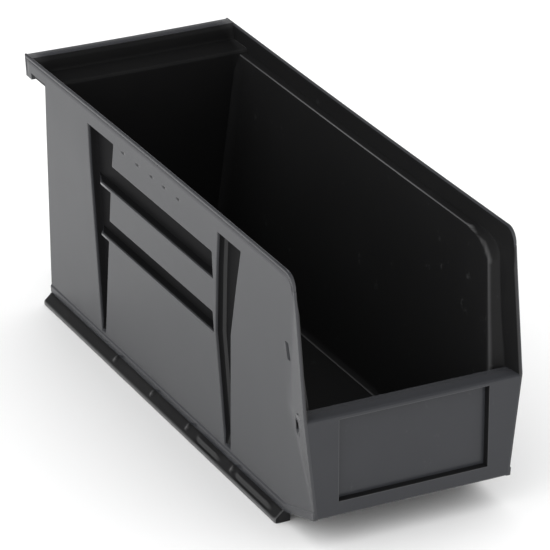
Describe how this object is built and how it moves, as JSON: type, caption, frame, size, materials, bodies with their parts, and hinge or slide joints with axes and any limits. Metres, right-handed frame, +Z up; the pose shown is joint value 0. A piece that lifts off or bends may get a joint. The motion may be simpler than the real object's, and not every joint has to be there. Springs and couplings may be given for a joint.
{
  "type": "stack-and-hang storage bin",
  "caption": "Long narrow plastic storage bin with an open hopper front, label recess, stacking ledges, foot rails and a rear hanger lip.",
  "frame": {"origin": "centre of the bounding box's footprint, on the plane the foot rails rest on", "axes": "+Z up, +Y from the open hopper front to the rear hanger, +X to the right seen from the front"},
  "size_m": [0.138, 0.375, 0.163],
  "materials": {
    "shell_plastic": "black polypropylene, smooth satin moulded outer faces",
    "inside_plastic": "black polypropylene, smooth inner faces",
    "groove_plastic": "black polypropylene inside the grooves and pockets",
    "rail_plastic": "black polypropylene, foot rails, lightly rubbed underneath"
  },
  "bodies": {
    "root": {"floor_panel": "inside_plastic", "front_ramp": "inside_plastic", "front_panel": "shell_plastic", "front_top_lip": "shell_plastic", "front_inner_wall": "shell_plastic", "label_recess_frame": "groove_plastic", "back_wall": "inside_plastic", "rear_hanger_shelf": "inside_plastic", "rear_hanger_lip": "shell_plastic", "left_inner_wall": "inside_plastic", "left_outer_skin": "shell_plastic", "left_front_border": "shell_plastic", "left_front_return": "inside_plastic", "left_stacking_ledge": "inside_plastic", "left_rim_band": "shell_plastic", "left_foot_rail": "rail_plastic", "left_pocket_frame": "groove_plastic", "left_rear_channel_web": "groove_plastic", "left_front_channel_front_web": "groove_plastic", "left_front_channel_rear_web": "groove_plastic", "right_inner_wall": "inside_plastic", "right_outer_skin": "shell_plastic", "right_front_border": "shell_plastic", "right_front_return": "inside_plastic", "right_stacking_ledge": "inside_plastic", "right_rim_band": "shell_plastic", "right_foot_rail": "rail_plastic", "right_pocket_frame": "groove_plastic", "right_rear_channel_web": "groove_plastic", "right_front_channel_front_web": "groove_plastic", "right_front_channel_rear_web": "groove_plastic"}
  },
  "joints": []
}
